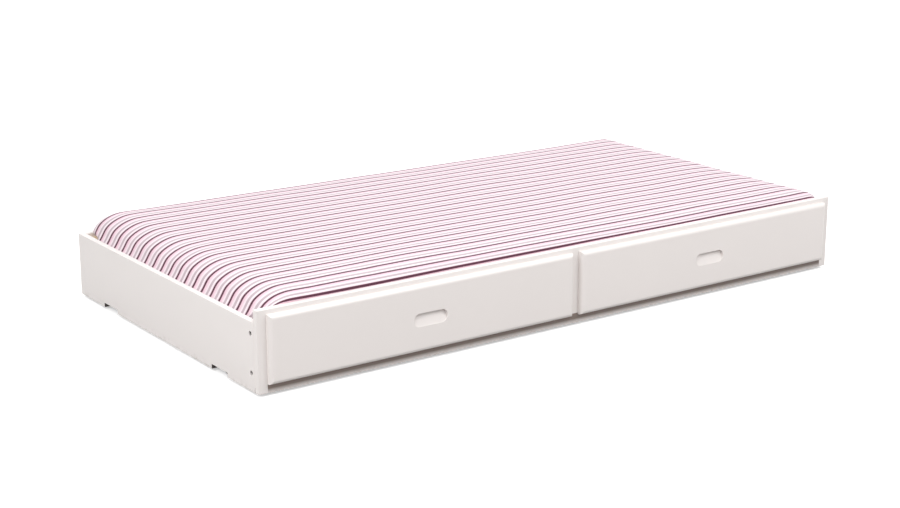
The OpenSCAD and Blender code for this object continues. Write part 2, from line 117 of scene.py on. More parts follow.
def paint_film():
    """Group: sprayed paint with a fine stipple, slow changes of tone, and scuffs low down."""
    group, given, made = new_group(
        "paint_film",
        [("Colour", "NodeSocketColor", (0.8, 0.8, 0.8, 1)),
         ("Scuff Colour", "NodeSocketColor", (0.4, 0.35, 0.3, 1)),
         ("Scuff Height", "NodeSocketFloat", 0.03),
         ("Gloss", "NodeSocketFloat", 0.36)],
        [("Colour", "NodeSocketColor"), ("Roughness", "NodeSocketFloat"),
         ("Normal", "NodeSocketVector")])
    link = group.links.new
    where = place(group, "ShaderNodeTexCoord", (-900, -300)).outputs["Object"]
    slow = place(group, "ShaderNodeTexNoise", (-650, 300), Scale=2.2, Detail=3.0)
    fine = place(group, "ShaderNodeTexNoise", (-650, -50), Scale=420.0, Detail=2.0)
    rub = place(group, "ShaderNodeTexNoise", (-650, -350), Scale=38.0, Detail=6.0, Roughness=0.7)
    for texture in (slow, fine, rub):
        link(where, texture.inputs["Vector"])
    tone = place(group, "ShaderNodeMapRange", (-430, 300))
    tone.inputs["To Min"].default_value = 0.97
    tone.inputs["To Max"].default_value = 1.02
    link(slow.outputs["Fac"], tone.inputs["Value"])
    toned = place(group, "ShaderNodeVectorMath", (-200, 300), operation="SCALE")
    link(given["Colour"], toned.inputs[0])
    link(tone.outputs["Result"], toned.inputs["Scale"])
    height = place(group, "ShaderNodeSeparateXYZ", (-650, -600))
    link(where, height.inputs["Vector"])
    low_down = place(group, "ShaderNodeMapRange", (-430, -600))
    low_down.inputs["From Min"].default_value = 0.008
    low_down.inputs["To Min"].default_value = 1.0
    low_down.inputs["To Max"].default_value = 0.0
    link(height.outputs["Z"], low_down.inputs["Value"])
    link(given["Scuff Height"], low_down.inputs["From Max"])
    rubbed = place(group, "ShaderNodeMapRange", (-430, -350))
    rubbed.inputs["From Min"].default_value = 0.52
    rubbed.inputs["From Max"].default_value = 0.75
    link(rub.outputs["Fac"], rubbed.inputs["Value"])
    scuff = place(group, "ShaderNodeMath", (-200, -400), operation="MULTIPLY", use_clamp=True)
    link(low_down.outputs["Result"], scuff.inputs[0])
    link(rubbed.outputs["Result"], scuff.inputs[1])
    mixed = place(group, "ShaderNodeMix", (50, 200), data_type="RGBA")
    link(scuff.outputs["Value"], mixed.inputs["Factor"])
    link(toned.outputs["Vector"], mixed.inputs["A"])
    link(given["Scuff Colour"], mixed.inputs["B"])
    gloss = place(group, "ShaderNodeMath", (50, -100), operation="MULTIPLY_ADD")
    gloss.inputs[1].default_value = 0.12
    link(slow.outputs["Fac"], gloss.inputs[0])
    link(given["Gloss"], gloss.inputs[2])
    bump = place(group, "ShaderNodeBump", (300, -200), Strength=0.25, Distance=0.0002)
    link(fine.outputs["Fac"], bump.inputs["Height"])
    link(mixed.outputs["Result"], made["Colour"])
    link(gloss.outputs["Value"], made["Roughness"])
    link(bump.outputs["Normal"], made["Normal"])
    return group


paint = paint_film()
warm_white = new_material(
    "warm_white_paint", paint,
    {"Colour": (0.80, 0.755, 0.735, 1), "Scuff Colour": (0.52, 0.47, 0.43, 1),
     "Scuff Height": 0.028, "Gloss": 0.34},
    Coat_Weight=0.12, Coat_Roughness=0.25)
finish_nodes(warm_white, "back_rail", "drawer_front_left", "drawer_front_right")

# Painted shade: the strip of the front board that lies under the drawer fronts is darkened in its
# colour, for the shade that their overhang casts
front_shaded_white = new_material(
    "front_paint_painted_shade", paint,
    {"Colour": (0.80, 0.755, 0.735, 1), "Scuff Colour": (0.52, 0.47, 0.43, 1),
     "Scuff Height": 0.028, "Gloss": 0.34},
    Coat_Weight=0.12, Coat_Roughness=0.25)
tree = front_shaded_white.node_tree
paint_node = next(n for n in tree.nodes if n.type == "GROUP")
shader_node = next(n for n in tree.nodes if n.type == "BSDF_PRINCIPLED")
where = place(tree, "ShaderNodeTexCoord", (-900, -300))
split = place(tree, "ShaderNodeSeparateXYZ", (-700, -300))
drawer_low, drawer_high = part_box("drawer_front_left")
end_margin = abs(cad_low.x - drawer_low[0])
under = place(tree, "ShaderNodeMapRange", (-500, -250))
for label, value in (("From Min", drawer_low[2] - 0.023), ("From Max", drawer_low[2] - 0.011)):
    under.inputs[label].default_value = value
above = place(tree, "ShaderNodeMath", (-500, -450), operation="LESS_THAN")
above.inputs[1].default_value = drawer_low[2] + 0.004
outside = place(tree, "ShaderNodeMath", (-500, -600), operation="LESS_THAN")
outside.inputs[1].default_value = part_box("front_board")[0][1] + 0.0015
reach = place(tree, "ShaderNodeMath", (-500, -750), operation="ABSOLUTE")
within = place(tree, "ShaderNodeMath", (-350, -750), operation="LESS_THAN")
within.inputs[1].default_value = cad_high.x - end_margin
both = place(tree, "ShaderNodeMath", (-300, -400), operation="MULTIPLY")
front_only = place(tree, "ShaderNodeMath", (-200, -500), operation="MULTIPLY")
below_fronts = place(tree, "ShaderNodeMath", (-100, -600), operation="MULTIPLY")
# Painted shade: how much of the dark brown shade tone covers the strip under the drawer fronts
painted_shade_amount = place(tree, "ShaderNodeMath", (0, -400), operation="MULTIPLY")
painted_shade_amount.inputs[1].default_value = 0.95
# Painted shade: a dark brown tone mixed over the paint, standing in for the shadow under the drawer
# fronts
painted_shade_mix = place(tree, "ShaderNodeMix", (-80, 200), data_type="RGBA")
painted_shade_mix.inputs["B"].default_value = (0.13, 0.085, 0.065, 1)
link = tree.links.new
link(where.outputs["Object"], split.inputs["Vector"])
link(split.outputs["Z"], under.inputs["Value"])
link(split.outputs["Z"], above.inputs[0])
link(split.outputs["Y"], outside.inputs[0])
link(split.outputs["X"], reach.inputs[0])
link(reach.outputs["Value"], within.inputs[0])
link(under.outputs["Result"], both.inputs[0])
link(above.outputs["Value"], both.inputs[1])
link(both.outputs["Value"], front_only.inputs[0])
link(outside.outputs["Value"], front_only.inputs[1])
link(front_only.outputs["Value"], below_fronts.inputs[0])
link(within.outputs["Value"], below_fronts.inputs[1])
link(below_fronts.outputs["Value"], painted_shade_amount.inputs[0])
link(painted_shade_amount.outputs["Value"], painted_shade_mix.inputs["Factor"])
link(paint_node.outputs["Colour"], painted_shade_mix.inputs["A"])
link(painted_shade_mix.outputs["Result"], shader_node.inputs["Base Color"])
finish_nodes(front_shaded_white, "front_board")

# Painted shade: the upright edges of the notches over the casters are painted near black, for the
# shade that falls inside the notches
end_notch_shaded_white = new_material(
    "end_paint_painted_notch_shade", paint,
    {"Colour": (0.80, 0.755, 0.735, 1), "Scuff Colour": (0.52, 0.47, 0.43, 1),
     "Scuff Height": 0.028, "Gloss": 0.34},
    Coat_Weight=0.12, Coat_Roughness=0.25)
tree = end_notch_shaded_white.node_tree
link = tree.links.new
paint_node = next(n for n in tree.nodes if n.type == "GROUP")
shader_node = next(n for n in tree.nodes if n.type == "BSDF_PRINCIPLED")
where = place(tree, "ShaderNodeTexCoord", (-900, -300))
split = place(tree, "ShaderNodeSeparateXYZ", (-700, -200))
facing = place(tree, "ShaderNodeSeparateXYZ", (-700, -400))
notch_top = cad_low.z + 0.0215
low_down = place(tree, "ShaderNodeMath", (-500, -250), operation="LESS_THAN")
low_down.inputs[1].default_value = notch_top
along_bed = place(tree, "ShaderNodeMath", (-500, -400), operation="ABSOLUTE")
upright = place(tree, "ShaderNodeMath", (-350, -400), operation="GREATER_THAN")
upright.inputs[1].default_value = 0.7
in_notch = place(tree, "ShaderNodeMath", (-350, -600), operation="LESS_THAN")
in_notch.inputs[1].default_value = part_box("back_rail")[0][1]
upright_notch = place(tree, "ShaderNodeMath", (-250, -450), operation="MULTIPLY")
# Painted shade: the low, upright faces inside the notches take the dark shade tone
notch_shade_amount = place(tree, "ShaderNodeMath", (-200, -300), operation="MULTIPLY")
# Painted shade: a near-black tone mixed over the paint, standing in for the shadow in the notches
notch_shade_mix = place(tree, "ShaderNodeMix", (-80, 200), data_type="RGBA")
notch_shade_mix.inputs["B"].default_value = (0.055, 0.042, 0.038, 1)
link(where.outputs["Object"], split.inputs["Vector"])
link(where.outputs["Normal"], facing.inputs["Vector"])
link(split.outputs["Z"], low_down.inputs[0])
link(facing.outputs["Y"], along_bed.inputs[0])
link(along_bed.outputs["Value"], upright.inputs[0])
link(low_down.outputs["Value"], notch_shade_amount.inputs[0])
link(split.outputs["Y"], in_notch.inputs[0])
link(upright.outputs["Value"], upright_notch.inputs[0])
link(in_notch.outputs["Value"], upright_notch.inputs[1])
link(upright_notch.outputs["Value"], notch_shade_amount.inputs[1])
link(notch_shade_amount.outputs["Value"], notch_shade_mix.inputs["Factor"])
link(paint_node.outputs["Colour"], notch_shade_mix.inputs["A"])
link(notch_shade_mix.outputs["Result"], shader_node.inputs["Base Color"])
finish_nodes(end_notch_shaded_white, "left_end_board", "right_end_board")


# ---- Pine frame inside ----
# Slats, ledges, the centre beam and the corner blocks are planed pine without a finish.
# The grain runs along each piece, so one group is turned to suit the way a piece lies.

def pine_grain():
    """Group: planed softwood whose grain runs along X of the vector that it is given."""
    group, given, made = new_group(
        "pine_grain",
        [("Vector", "NodeSocketVector", None),
         ("Early Wood", "NodeSocketColor", (0.83, 0.67, 0.46, 1)),
         ("Late Wood", "NodeSocketColor", (0.68, 0.48, 0.28, 1)),
         ("Knot", "NodeSocketColor", (0.28, 0.15, 0.07, 1))],
        [("Colour", "NodeSocketColor"), ("Roughness", "NodeSocketFloat"),
         ("Normal", "NodeSocketVector")])
    link = group.links.new
    along = place(group, "ShaderNodeMapping", (-700, 200))
    along.inputs["Scale"].default_value = (0.9, 14.0, 14.0)
    link(given["Vector"], along.inputs["Vector"])
    drift = place(group, "ShaderNodeTexNoise", (-480, 380), Scale=2.5, Detail=3.0)
    rings = place(group, "ShaderNodeTexWave", (-480, 120), Scale=3.2, Distortion=5.0,
                  Detail=3.0, bands_direction="Y")
    rings.inputs["Detail Scale"].default_value = 0.9
    fibre = place(group, "ShaderNodeTexNoise", (-480, -160), Scale=55.0, Detail=4.0)
    for texture in (drift, rings, fibre):
        link(along.outputs["Vector"], texture.inputs["Vector"])
    spots = place(group, "ShaderNodeMapping", (-700, -420))
    spots.inputs["Scale"].default_value = (2.6, 7.0, 7.0)
    link(given["Vector"], spots.inputs["Vector"])
    knots = place(group, "ShaderNodeTexVoronoi", (-480, -420), Scale=1.0)
    link(spots.outputs["Vector"], knots.inputs["Vector"])
    knot = place(group, "ShaderNodeMapRange", (-260, -420))
    knot.inputs["From Min"].default_value = 0.05
    knot.inputs["From Max"].default_value = 0.11
    knot.inputs["To Min"].default_value = 1.0
    knot.inputs["To Max"].default_value = 0.0
    link(knots.outputs["Distance"], knot.inputs["Value"])
    grain = place(group, "ShaderNodeMix", (-200, 150), data_type="FLOAT")
    grain.inputs["Factor"].default_value = 0.45
    link(rings.outputs["Fac"], grain.inputs["A"])
    link(fibre.outputs["Fac"], grain.inputs["B"])
    wood = place(group, "ShaderNodeMix", (50, 250), data_type="RGBA")
    link(grain.outputs["Result"], wood.inputs["Factor"])
    link(given["Early Wood"], wood.inputs["A"])
    link(given["Late Wood"], wood.inputs["B"])
    knotted = place(group, "ShaderNodeMix", (280, 200), data_type="RGBA")
    link(knot.outputs["Result"], knotted.inputs["Factor"])
    link(wood.outputs["Result"], knotted.inputs["A"])
    link(given["Knot"], knotted.inputs["B"])
    rough = place(group, "ShaderNodeMapRange", (50, -120))
    rough.inputs["To Min"].default_value = 0.55
    rough.inputs["To Max"].default_value = 0.72
    link(drift.outputs["Fac"], rough.inputs["Value"])
    bump = place(group, "ShaderNodeBump", (280, -200), Strength=0.35, Distance=0.0004)
    link(grain.outputs["Result"], bump.inputs["Height"])
    link(knotted.outputs["Result"], made["Colour"])
    link(rough.outputs["Result"], made["Roughness"])
    link(bump.outputs["Normal"], made["Normal"])
    return group


def pine_along(name, turn):
    """Pine whose grain follows the piece: turn takes the piece's length onto X."""
    material = new_material(name, grain, {})
    tree = material.node_tree
    where = place(tree, "ShaderNodeTexCoord", (-900, 0))
    turned = place(tree, "ShaderNodeMapping", (-650, 0))
    turned.inputs["Rotation"].default_value = turn
    group_node = next(n for n in tree.nodes if n.type == "GROUP")
    tree.links.new(where.outputs["Object"], turned.inputs["Vector"])
    tree.links.new(turned.outputs["Vector"], group_node.inputs["Vector"])
    return material


grain = pine_grain()
quarter = math.pi / 2
slat_names = [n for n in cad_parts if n.startswith("slat_") and n != "slat_screws"]
finish_nodes(pine_along("pine_across_the_bed", (0, 0, quarter)), *slat_names)
finish_nodes(pine_along("pine_along_the_bed", (0, 0, 0)),
             "front_ledge", "back_ledge", "centre_beam", "dowels")
finish_nodes(pine_along("pine_upright", (0, quarter, 0)),
             "front_left_block", "front_right_block", "back_left_block", "back_right_block")


# ---- Steel fittings ----
# Beam hangers, caster forks, axles, barrel nuts and wood screws are bright zinc plate on
# steel. The four frame bolts are black oxide. Both show fine scratches from the tumbler.

def plated_steel():
    """Group: plated or blackened steel with clouded plate and fine scratches."""
    group, given, made = new_group(
        "plated_steel",
        [("Colour", "NodeSocketColor", (0.6, 0.6, 0.62, 1)),
         ("Cloud Colour", "NodeSocketColor", (0.5, 0.5, 0.52, 1)),
         ("Polish", "NodeSocketFloat", 0.3)],
        [("Colour", "NodeSocketColor"), ("Roughness", "NodeSocketFloat"),
         ("Normal", "NodeSocketVector")])
    link = group.links.new
    where = place(group, "ShaderNodeTexCoord", (-900, -300)).outputs["Object"]
    cloud = place(group, "ShaderNodeTexNoise", (-600, 200), Scale=90.0, Detail=4.0)
    scratch = place(group, "ShaderNodeTexNoise", (-600, -200), Scale=900.0, Detail=2.0)
    link(where, cloud.inputs["Vector"])
    link(where, scratch.inputs["Vector"])
    mixed = place(group, "ShaderNodeMix", (-200, 200), data_type="RGBA")
    link(cloud.outputs["Fac"], mixed.inputs["Factor"])
    link(given["Colour"], mixed.inputs["A"])
    link(given["Cloud Colour"], mixed.inputs["B"])
    polish = place(group, "ShaderNodeMath", (-200, -50), operation="MULTIPLY_ADD")
    polish.inputs[1].default_value = 0.2
    link(cloud.outputs["Fac"], polish.inputs[0])
    link(given["Polish"], polish.inputs[2])
    bump = place(group, "ShaderNodeBump", (100, -200), Strength=0.2, Distance=0.0001)
    link(scratch.outputs["Fac"], bump.inputs["Height"])
    link(mixed.outputs["Result"], made["Colour"])
    link(polish.outputs["Value"], made["Roughness"])
    link(bump.outputs["Normal"], made["Normal"])
    return group


steel = plated_steel()
zinc = new_material("bright_zinc", steel,
                    {"Colour": (0.62, 0.63, 0.66, 1), "Cloud Colour": (0.46, 0.47, 0.49, 1),
                     "Polish": 0.24}, Metallic=1.0)
black_oxide = new_material("black_oxide", steel,
                           {"Colour": (0.006, 0.006, 0.006, 1),
                            "Cloud Colour": (0.012, 0.011, 0.011, 1), "Polish": 0.5},
                           Metallic=0.2, Specular_IOR_Level=0.15)
caster_numbers = (1, 2, 3, 4)
finish_nodes(zinc, "left_beam_hanger", "right_beam_hanger", "barrel_nuts",
             "drawer_front_screws", "block_screws", "ledge_screws", "slat_screws",
             "hanger_screws", "caster_screws",
             *[f"caster_bracket_{i}" for i in caster_numbers],
             *[f"caster_axle_{i}" for i in caster_numbers])
finish_nodes(black_oxide, "frame_bolts")


# ---- Caster wheels ----
# Each wheel is a moulded nylon hub with a soft rubber tyre pressed round it. The nylon
# has a fine spark-eroded grain, and the tyre picks up pale dust from the floor.

def moulded():
    """Group: moulded plastic or rubber with a fine grain and some dust."""
    group, given, made = new_group(
        "moulded",
        [("Colour", "NodeSocketColor", (0.05, 0.05, 0.05, 1)),
         ("Dust Colour", "NodeSocketColor", (0.3, 0.28, 0.26, 1)),
         ("Dust", "NodeSocketFloat", 0.3), ("Matt", "NodeSocketFloat", 0.5)],
        [("Colour", "NodeSocketColor"), ("Roughness", "NodeSocketFloat"),
         ("Normal", "NodeSocketVector")])
    link = group.links.new
    where = place(group, "ShaderNodeTexCoord", (-900, -300)).outputs["Object"]
    dusty = place(group, "ShaderNodeTexNoise", (-600, 200), Scale=70.0, Detail=6.0)
    texture = place(group, "ShaderNodeTexNoise", (-600, -200), Scale=1400.0, Detail=1.0)
    link(where, dusty.inputs["Vector"])
    link(where, texture.inputs["Vector"])
    amount = place(group, "ShaderNodeMath", (-350, 100), operation="MULTIPLY", use_clamp=True)
    link(dusty.outputs["Fac"], amount.inputs[0])
    link(given["Dust"], amount.inputs[1])
    mixed = place(group, "ShaderNodeMix", (-100, 200), data_type="RGBA")
    link(amount.outputs["Value"], mixed.inputs["Factor"])
    link(given["Colour"], mixed.inputs["A"])
    link(given["Dust Colour"], mixed.inputs["B"])
    matt = place(group, "ShaderNodeMath", (-100, -50), operation="MULTIPLY_ADD")
    matt.inputs[1].default_value = 0.2
    link(dusty.outputs["Fac"], matt.inputs[0])
    link(given["Matt"], matt.inputs[2])
    bump = place(group, "ShaderNodeBump", (150, -200), Strength=0.3, Distance=0.0001)
    link(texture.outputs["Fac"], bump.inputs["Height"])
    link(mixed.outputs["Result"], made["Colour"])
    link(matt.outputs["Value"], made["Roughness"])
    link(bump.outputs["Normal"], made["Normal"])
    return group


moulding = moulded()
nylon = new_material("moulded_nylon", moulding,
                     {"Colour": (0.022, 0.022, 0.024, 1), "Dust": 0.12, "Matt": 0.38})
rubber = new_material("tyre_rubber", moulding,
                      {"Colour": (0.012, 0.012, 0.013, 1), "Dust": 0.10, "Matt": 0.62})
finish_nodes(nylon, *[f"wheel_hub_{i}" for i in caster_numbers])
finish_nodes(rubber, *[f"wheel_tyre_{i}" for i in caster_numbers])


# ---- Mattress ----
# A foam slab in a striped cotton cover that is sewn, a little above the underside, to a
# plain base cloth. The foam fills the cover, so the top is crowned and its ends roll over
# softly. It rests loose on the slats.
cover_low, cover_high = (Vector(p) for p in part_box("mattress_cover"))
bed_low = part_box("mattress_base_cloth")[0][2]       # underside, just above the slats
seam_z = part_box("mattress_base_cloth")[1][2]
mattress_mid = (cover_low + cover_high) / 2
swell = 0.006          # how far the foam pushes the cloth out when it is stuffed
spread = 0.018         # how much wider the slab starts, because stuffing draws its sides in
board_gap = 0.0025     # what is left between the cloth and the boards round it
voxel = 0.013
roll_width, roll_depth = 0.090, 0.050      # how the soft left end rolls over
lean = 0.009                               # the foam stands a little higher at the left

bpy.ops.object.select_all(action="DESELECT")
bpy.ops.mesh.primitive_cube_add(
    size=1, location=(mattress_mid.x, mattress_mid.y, (bed_low + cover_high.z) / 2))
mattress = bpy.context.object
mattress.name = mattress.data.name = "striped_mattress"
mattress.dimensions = (cover_high.x - cover_low.x + 2 * (spread - swell),
                       cover_high.y - cover_low.y + 2 * (spread - swell),
                       cover_high.z - bed_low)
bpy.ops.object.transform_apply(location=True, rotation=False, scale=True)


def select_edges(obj, wanted):
    """In edit mode, selects just the edges whose two ends pass the test."""
    bpy.ops.mesh.select_all(action="DESELECT")
    bpy.ops.object.mode_set(mode="OBJECT")
    mesh = obj.data
    for edge in mesh.edges:
        edge.select = wanted(*(mesh.vertices[i].co for i in edge.vertices))
    bpy.ops.object.mode_set(mode="EDIT")


bpy.ops.object.mode_set(mode="EDIT")
bpy.ops.mesh.select_mode(type="EDGE")
select_edges(mattress, lambda a, b: abs(a.z - b.z) > 0.05)
bpy.ops.mesh.bevel(offset=0.020, segments=4)
top_z, under_z = (f(v.co.z for v in mattress.data.vertices) for f in (max, min))
select_edges(mattress, lambda a, b: abs(a.z - b.z) < 1e-5)
bpy.ops.mesh.bevel(offset=0.014, segments=2)
bpy.ops.object.mode_set(mode="OBJECT")
remesh = mattress.modifiers.new("Remesh", "REMESH")
remesh.mode = "VOXEL"
remesh.voxel_size = voxel
bpy.ops.object.modifier_apply(modifier=remesh.name)


def ease(value):
    """Smooth step from 0 to 1."""
    value = min(max(value, 0.0), 1.0)
    return value * value * (3 - 2 * value)


def roll_over(co):
    """The foam's rim is softer than its middle, so the top sinks towards the ends and sides."""
    up = max(0.0, (co.z - (under_z + top_z) / 2) / ((top_z - under_z) / 2))
    from_left, from_right = co.x - cover_low.x, cover_high.x - co.x
    from_side = (cover_high.y - cover_low.y) / 2 - abs(co.y - mattress_mid.y)
    bend = 1 - min(max(from_left / roll_width, 0.0), 1.0)
    sink = (roll_depth * (1 - math.sqrt(1 - bend * bend))
            + 0.001 * (1 - ease(from_side / 0.06)) - lean * ease(from_right / 1.9))
    wave = 0.0022 * noise.noise(Vector((co.x * 3.1, co.y * 5.3, 4.0)))
    return Vector((co.x, co.y, co.z - up * (sink - wave)))


for vertex in mattress.data.vertices:
    vertex.co = roll_over(vertex.co)
mattress.data.update()

start = [v.co.copy() for v in mattress.data.vertices]
stuffing = mattress.modifiers.new("Stuffing", "CLOTH")
stuffing.settings.quality = 4
stuffing.settings.use_pressure = True
stuffing.settings.uniform_pressure_force = 4
stuffing.settings.tension_stiffness = 20
stuffing.settings.compression_stiffness = 20
stuffing.settings.shear_stiffness = 8
stuffing.settings.bending_stiffness = 1.5
stuffing.settings.effector_weights.gravity = 0
stuffing.point_cache.frame_start, stuffing.point_cache.frame_end = 1, 20
for moment in range(1, 21):
    bpy.context.scene.frame_set(moment)
bpy.context.view_layer.objects.active = mattress
bpy.ops.object.modifier_apply(modifier=stuffing.name)
for vertex, was in zip(mattress.data.vertices, start):
    step = vertex.co - was
    if step.length > swell:
        step *= swell / step.length
    vertex.co = was + step
bpy.context.scene.frame_set(1)

smoothing = mattress.modifiers.new("Smooth", "SUBSURF")
smoothing.levels = smoothing.render_levels = 1
bpy.ops.object.modifier_apply(modifier=smoothing.name)
inner_low = (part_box("left_end_board")[1][0] + board_gap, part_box("front_board")[1][1] + board_gap)
inner_high = (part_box("right_end_board")[0][0] - board_gap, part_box("back_rail")[0][1] - board_gap)
for vertex in mattress.data.vertices:
    co = vertex.co
    vertex.co = (min(max(co.x, inner_low[0]), inner_high[0]),
                 min(max(co.y, inner_low[1]), inner_high[1]), max(co.z, bed_low))


# The corner blocks dent the foam: up to their tops its corners are round, and clear of them
block_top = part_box("front_left_block")[1][2]
dent_r = 0.0815                # round corner in front of a block
straight_extra = 0.006         # how much further out the cloth runs where the sides begin
corner_centre = (cover_high.x - 0.080, (cover_high.y - cover_low.y) / 2 - 0.080)
for vertex in mattress.data.vertices:
    co = vertex.co
    side_x, side_y = math.copysign(1, co.x), math.copysign(1, co.y - mattress_mid.y)
    out_x = abs(co.x) - corner_centre[0]
    out_y = abs(co.y - mattress_mid.y) - corner_centre[1]
    if out_x > 0 and out_y > 0:
        far = math.hypot(out_x, out_y)
        limit = dent_r + straight_extra * abs(math.cos(2 * math.atan2(out_y, out_x)))
        freed = ease((co.z - block_top - 0.004) / 0.014)
        if far > limit:
            kept = (limit + (far - limit) * freed) / far
            co.x = side_x * (corner_centre[0] + out_x * kept)
            co.y = mattress_mid.y + side_y * (corner_centre[1] + out_y * kept)
mattress.data.update()
bpy.ops.object.shade_smooth()

# The cloth is laid with its stripes along the bed. Each point keeps the place on the flat
# cloth that it was sewn from, so the stripes and the weave follow the surface.
laid = mattress.data.attributes.new("laid_cloth", "FLOAT_VECTOR", "POINT")
stripe_shift = 0.006        # moves the pattern so that a white stripe meets the front board
crown_z = max(v.co.z for v in mattress.data.vertices)
flat_places = []
for vertex in mattress.data.vertices:
    co, facing = vertex.co, vertex.normal
    drop = crown_z - co.z
    level = abs(facing.x) + abs(facing.y) + 1e-6
    turned_y = ease(abs(facing.y) / level) * (1 - ease((abs(facing.z) - 0.6) / 0.4))
    turned_x = ease(abs(facing.x) / level) * (1 - ease((abs(facing.z) - 0.6) / 0.4))
    pull = 0.0022 * noise.noise(Vector((co.x * 2.3, co.y * 4.1, 9.0)))
    flat_places += [co.x + math.copysign(drop * turned_x, facing.x),
                    co.y - mattress_mid.y + math.copysign(drop * turned_y, facing.y) + pull
                    + stripe_shift,
                    drop]
laid.data.foreach_set("vector", flat_places)


def woven():
    """Group: plain weave that follows the laid cloth, with slubs and soft shading."""
    group, given, made = new_group(
        "woven",
        [("Colour", "NodeSocketColor", (0.8, 0.8, 0.8, 1)),
         ("Flat Place", "NodeSocketVector", None),
         ("Threads", "NodeSocketFloat", 700.0)],
        [("Colour", "NodeSocketColor"), ("Roughness", "NodeSocketFloat"),
         ("Normal", "NodeSocketVector")])
    link = group.links.new
    scaled = place(group, "ShaderNodeVectorMath", (-700, -100), operation="SCALE")
    link(given["Flat Place"], scaled.inputs[0])
    link(given["Threads"], scaled.inputs["Scale"])
    split = place(group, "ShaderNodeSeparateXYZ", (-520, -100))
    link(scaled.outputs["Vector"], split.inputs["Vector"])
    waves = []
    for k, axis in enumerate("XY"):
        wave = place(group, "ShaderNodeMath", (-340, -60 - 160 * k), operation="SINE")
        angle = place(group, "ShaderNodeMath", (-430, -60 - 160 * k), operation="MULTIPLY")
        angle.inputs[1].default_value = 2 * math.pi
        link(split.outputs[axis], angle.inputs[0])
        link(angle.outputs["Value"], wave.inputs[0])
        waves.append(wave)
    weave = place(group, "ShaderNodeMath", (-160, -120), operation="MULTIPLY")
    link(waves[0].outputs["Value"], weave.inputs[0])
    link(waves[1].outputs["Value"], weave.inputs[1])
    slub_map = place(group, "ShaderNodeMapping", (-520, 300))
    slub_map.inputs["Scale"].default_value = (14.0, 300.0, 60.0)
    link(given["Flat Place"], slub_map.inputs["Vector"])
    slub = place(group, "ShaderNodeTexNoise", (-320, 300), Scale=1.0, Detail=3.0)
    link(slub_map.outputs["Vector"], slub.inputs["Vector"])
    tone = place(group, "ShaderNodeMapRange", (-120, 300))
    tone.inputs["To Min"].default_value = 0.93
    tone.inputs["To Max"].default_value = 1.05
    link(slub.outputs["Fac"], tone.inputs["Value"])
    toned = place(group, "ShaderNodeVectorMath", (100, 250), operation="SCALE")
    link(given["Colour"], toned.inputs[0])
    link(tone.outputs["Result"], toned.inputs["Scale"])
    rough = place(group, "ShaderNodeMapRange", (100, 0))
    rough.inputs["To Min"].default_value = 0.78
    rough.inputs["To Max"].default_value = 0.95
    link(slub.outputs["Fac"], rough.inputs["Value"])
    bump = place(group, "ShaderNodeBump", (300, -150), Strength=0.3, Distance=0.0002)
    link(weave.outputs["Value"], bump.inputs["Height"])
    link(toned.outputs["Vector"], made["Colour"])
    link(rough.outputs["Result"], made["Roughness"])
    link(bump.outputs["Normal"], made["Normal"])
    return group


weave_group = woven()
stripe_period = 0.047
# Share of the period at which each colour starts: mauve line, white, grey band, blush white
stripe_colours = [
    (0.00, (0.085, 0.018, 0.040)), (0.17, (0.085, 0.018, 0.040)),
    (0.21, (0.83, 0.68, 0.74)), (0.37, (0.86, 0.79, 0.82)),
    (0.42, (0.51, 0.41, 0.45)), (0.60, (0.53, 0.43, 0.47)),
    (0.65, (0.86, 0.76, 0.80)), (0.96, (0.76, 0.50, 0.59))]


def cloth_material(name, colour=None):
    """Cotton on the laid cloth: striped, or in one colour where it is given."""
    material = new_material(name, weave_group, {}, Sheen_Weight=0.15)
    tree = material.node_tree
    group_node = next(n for n in tree.nodes if n.type == "GROUP")
    place_on_cloth = place(tree, "ShaderNodeAttribute", (-1300, 0), attribute_name="laid_cloth")
    tree.links.new(place_on_cloth.outputs["Vector"], group_node.inputs["Flat Place"])
    if colour:
        group_node.inputs["Colour"].default_value = colour
        return material
    split = place(tree, "ShaderNodeSeparateXYZ", (-1100, 200))
    count = place(tree, "ShaderNodeMath", (-920, 200), operation="DIVIDE")
    count.inputs[1].default_value = stripe_period
    share = place(tree, "ShaderNodeMath", (-750, 200), operation="FRACT")
    ramp = place(tree, "ShaderNodeValToRGB", (-600, 200))
    ramp.color_ramp.interpolation = "LINEAR"
    ramp.color_ramp.elements.remove(ramp.color_ramp.elements[1])
    for k, (at, rgb) in enumerate(stripe_colours):
        element = ramp.color_ramp.elements[0] if k == 0 else ramp.color_ramp.elements.new(at)
        element.position, element.color = at, (*rgb, 1)
    tree.links.new(place_on_cloth.outputs["Vector"], split.inputs["Vector"])
    tree.links.new(split.outputs["Y"], count.inputs[0])
    tree.links.new(count.outputs["Value"], share.inputs[0])
    tree.links.new(share.outputs["Value"], ramp.inputs["Fac"])
    tree.links.new(ramp.outputs["Color"], group_node.inputs["Colour"])
    return material


mattress.data.materials.append(cloth_material("striped_cotton"))
mattress.data.materials.append(cloth_material("base_cloth", (0.52, 0.52, 0.55, 1)))
for face in mattress.data.polygons:
    face.material_index = 1 if face.center.z < seam_z else 0
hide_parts("mattress_core", "mattress_cover", "mattress_base_cloth")
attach(mattress, "mattress")


# ---- Piping along the mattress seam ----
# A cotton cord in a folded strip, sewn in all round where the cover meets the base cloth.
piping_r = 0.002
bpy.ops.object.select_all(action="DESELECT")
mattress.select_set(True)
bpy.context.view_layer.objects.active = mattress
bpy.ops.object.duplicate()
piping = bpy.context.object
piping.name = piping.data.name = "seam_piping"
for key in [k for k in piping.keys() if k.startswith("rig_")]:
    del piping[key]
bpy.ops.object.mode_set(mode="EDIT")
bpy.ops.mesh.select_all(action="SELECT")
bpy.ops.mesh.bisect(plane_co=(0, 0, seam_z), plane_no=(0, 0, 1),
                    clear_inner=True, clear_outer=True)
bpy.ops.object.mode_set(mode="OBJECT")
bpy.ops.object.convert(target="CURVE")
piping.data.bevel_depth = piping_r
piping.data.bevel_resolution = 2
bpy.ops.object.convert(target="MESH")
piping = bpy.context.object
piping.data.materials.clear()
bpy.ops.object.shade_smooth()


